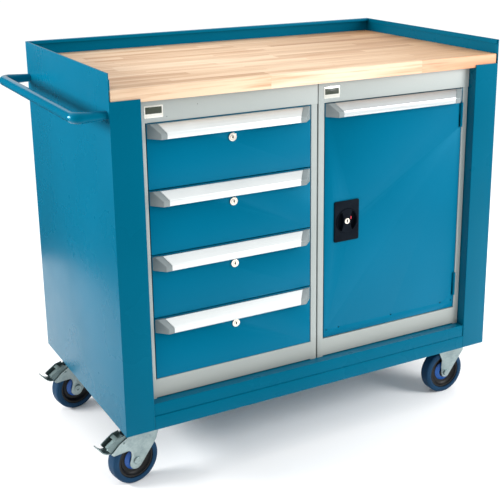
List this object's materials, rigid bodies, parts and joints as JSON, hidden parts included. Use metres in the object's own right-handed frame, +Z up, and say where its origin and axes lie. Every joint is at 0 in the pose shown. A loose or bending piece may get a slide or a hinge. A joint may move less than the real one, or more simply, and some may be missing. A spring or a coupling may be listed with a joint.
{
  "type": "mobile workbench with drawers",
  "caption": "Mobile workbench with a hardwood top and raised rim, a drawer cabinet and a door cabinet in a steel frame, push handle at one end, on swivel and fixed casters.",
  "frame": {"origin": "middle of the bounding box, on the floor that the casters stand on", "axes": "+X along the bench to the end without the handle, +Y from the drawer fronts to the back panel, +Z up"},
  "size_m": [1.1498, 0.6096, 1.015],
  "materials": {
    "frame_paint": "semi-gloss teal powder coat",
    "front_paint": "semi-gloss teal powder coat",
    "cabinet_paint": "satin light grey powder coat",
    "worktop_wood": "oiled edge-glued hard maple",
    "pull_aluminium": "satin anodised",
    "cap_plastic": "moulded grey",
    "zinc_plate": "bright zinc plated",
    "lock_nickel": "nickel plated",
    "latch_plastic": "fine-textured black",
    "name_plate": "blank printed plate",
    "wheel_nylon": "moulded black nylon",
    "tyre_rubber": "blue elastic rubber"
  },
  "bodies": {
    "frame": {"left_side_panel": "frame_paint", "right_side_panel": "frame_paint", "back_panel": "frame_paint", "front_base_rail": "frame_paint", "rear_base_rail": "frame_paint", "base_tray": "frame_paint", "worktop": "worktop_wood", "push_handle": "frame_paint", "drawer_cabinet": "cabinet_paint", "door_cabinet": "cabinet_paint", "drawer_slides": "zinc_plate", "cabinet_shelf": "cabinet_paint", "cabinet_hinges": "frame_paint", "name_plates": "name_plate", "caster_bolts": "zinc_plate", "swivel_plates": "zinc_plate", "rigid_forks": "zinc_plate", "rigid_axles": "zinc_plate"},
    "front_swivel": {"front_swivel_fork": "zinc_plate", "front_swivel_axle": "zinc_plate"},
    "front_brake": {"front_brake_pedal": "zinc_plate"},
    "front_left_wheel_set": {"front_left_wheel": "wheel_nylon", "front_left_tyre": "tyre_rubber"},
    "front_right_wheel_set": {"front_right_wheel": "wheel_nylon", "front_right_tyre": "tyre_rubber"},
    "rear_swivel": {"rear_swivel_fork": "zinc_plate", "rear_swivel_axle": "zinc_plate"},
    "rear_brake": {"rear_brake_pedal": "zinc_plate"},
    "rear_left_wheel_set": {"rear_left_wheel": "wheel_nylon", "rear_left_tyre": "tyre_rubber"},
    "rear_right_wheel_set": {"rear_right_wheel": "wheel_nylon", "rear_right_tyre": "tyre_rubber"},
    "door": {"door_panel": "frame_paint", "door_pull": "pull_aluminium", "door_pull_caps": "cap_plastic", "door_hinges": "frame_paint", "latch_plate": "latch_plastic"},
    "latch": {"latch_knob": "latch_plastic", "latch_cam": "zinc_plate"},
    "latch_key_plug": {"latch_cylinder": "lock_nickel"},
    "drawer_1": {"drawer_1_body": "front_paint", "drawer_1_pull": "pull_aluminium", "drawer_1_pull_caps": "cap_plastic", "drawer_1_lock": "lock_nickel"},
    "drawer_1_key_plug": {"drawer_1_plug": "lock_nickel"},
    "drawer_2": {"drawer_2_body": "front_paint", "drawer_2_pull": "pull_aluminium", "drawer_2_pull_caps": "cap_plastic", "drawer_2_lock": "lock_nickel"},
    "drawer_2_key_plug": {"drawer_2_plug": "lock_nickel"},
    "drawer_3": {"drawer_3_body": "front_paint", "drawer_3_pull": "pull_aluminium", "drawer_3_pull_caps": "cap_plastic", "drawer_3_lock": "lock_nickel"},
    "drawer_3_key_plug": {"drawer_3_plug": "lock_nickel"},
    "drawer_4": {"drawer_4_body": "front_paint", "drawer_4_pull": "pull_aluminium", "drawer_4_pull_caps": "cap_plastic", "drawer_4_lock": "lock_nickel"},
    "drawer_4_key_plug": {"drawer_4_plug": "lock_nickel"}
  },
  "joints": [
    {"name": "front_caster_swivel", "type": "hinge", "parent": "frame", "child": "front_swivel", "pos_m": [-0.4139, -0.2218, 0.163], "axis": [0, 0, 1], "continuous": true},
    {"name": "front_brake_press", "type": "hinge", "parent": "front_swivel", "child": "front_brake", "pos_m": [-0.48481, -0.2343, 0.1209], "axis": [0.1736, -0.9848, 0], "range_deg": [0, 12]},
    {"name": "front_left_wheel_roll", "type": "hinge", "parent": "front_swivel", "child": "front_left_wheel_set", "pos_m": [-0.45132, -0.2284, 0.0625], "axis": [-0.1736, 0.9848, 0], "continuous": true},
    {"name": "front_right_wheel_roll", "type": "hinge", "parent": "frame", "child": "front_right_wheel_set", "pos_m": [0.4979, -0.2218, 0.0625], "axis": [0, 1, 0], "continuous": true},
    {"name": "rear_caster_swivel", "type": "hinge", "parent": "frame", "child": "rear_swivel", "pos_m": [-0.4139, 0.2218, 0.163], "axis": [0, 0, 1], "continuous": true},
    {"name": "rear_brake_press", "type": "hinge", "parent": "rear_swivel", "child": "rear_brake", "pos_m": [-0.48481, 0.2093, 0.1209], "axis": [0.1736, -0.9848, 0], "range_deg": [0, 12]},
    {"name": "rear_left_wheel_roll", "type": "hinge", "parent": "rear_swivel", "child": "rear_left_wheel_set", "pos_m": [-0.45132, 0.2152, 0.0625], "axis": [-0.1736, 0.9848, 0], "continuous": true},
    {"name": "rear_right_wheel_roll", "type": "hinge", "parent": "frame", "child": "rear_right_wheel_set", "pos_m": [0.4979, 0.2218, 0.0625], "axis": [0, 1, 0], "continuous": true},
    {"name": "door_swing", "type": "hinge", "parent": "frame", "child": "door", "pos_m": [0.4806, -0.2813, 0.588], "axis": [0, 0, 1], "range_deg": [0, 90]},
    {"name": "latch_turn", "type": "hinge", "parent": "door", "child": "latch", "pos_m": [0.1265, -0.2778, 0.588], "axis": [0, 1, 0], "range_deg": [0, 90]},
    {"name": "latch_key_turn", "type": "hinge", "parent": "latch", "child": "latch_key_plug", "pos_m": [0.1265, -0.2898, 0.588], "axis": [0, 1, 0], "range_deg": [0, 90]},
    {"name": "drawer_1_slide", "type": "slide", "parent": "frame", "child": "drawer_1", "axis": [0, -1, 0], "range_m": [0, 0.43]},
    {"name": "drawer_1_key_turn", "type": "hinge", "parent": "drawer_1", "child": "drawer_1_key_plug", "pos_m": [-0.1893, -0.2808, 0.8402], "axis": [0, 1, 0], "range_deg": [0, 90]},
    {"name": "drawer_2_slide", "type": "slide", "parent": "frame", "child": "drawer_2", "axis": [0, -1, 0], "range_m": [0, 0.43]},
    {"name": "drawer_2_key_turn", "type": "hinge", "parent": "drawer_2", "child": "drawer_2_key_plug", "pos_m": [-0.1893, -0.2808, 0.6862], "axis": [0, 1, 0], "range_deg": [0, 90]},
    {"name": "drawer_3_slide", "type": "slide", "parent": "frame", "child": "drawer_3", "axis": [0, -1, 0], "range_m": [0, 0.43]},
    {"name": "drawer_3_key_turn", "type": "hinge", "parent": "drawer_3", "child": "drawer_3_key_plug", "pos_m": [-0.1893, -0.2808, 0.5322], "axis": [0, 1, 0], "range_deg": [0, 90]},
    {"name": "drawer_4_slide", "type": "slide", "parent": "frame", "child": "drawer_4", "axis": [0, -1, 0], "range_m": [0, 0.43]},
    {"name": "drawer_4_key_turn", "type": "hinge", "parent": "drawer_4", "child": "drawer_4_key_plug", "pos_m": [-0.1893, -0.2808, 0.3782], "axis": [0, 1, 0], "range_deg": [0, 90]}
  ]
}
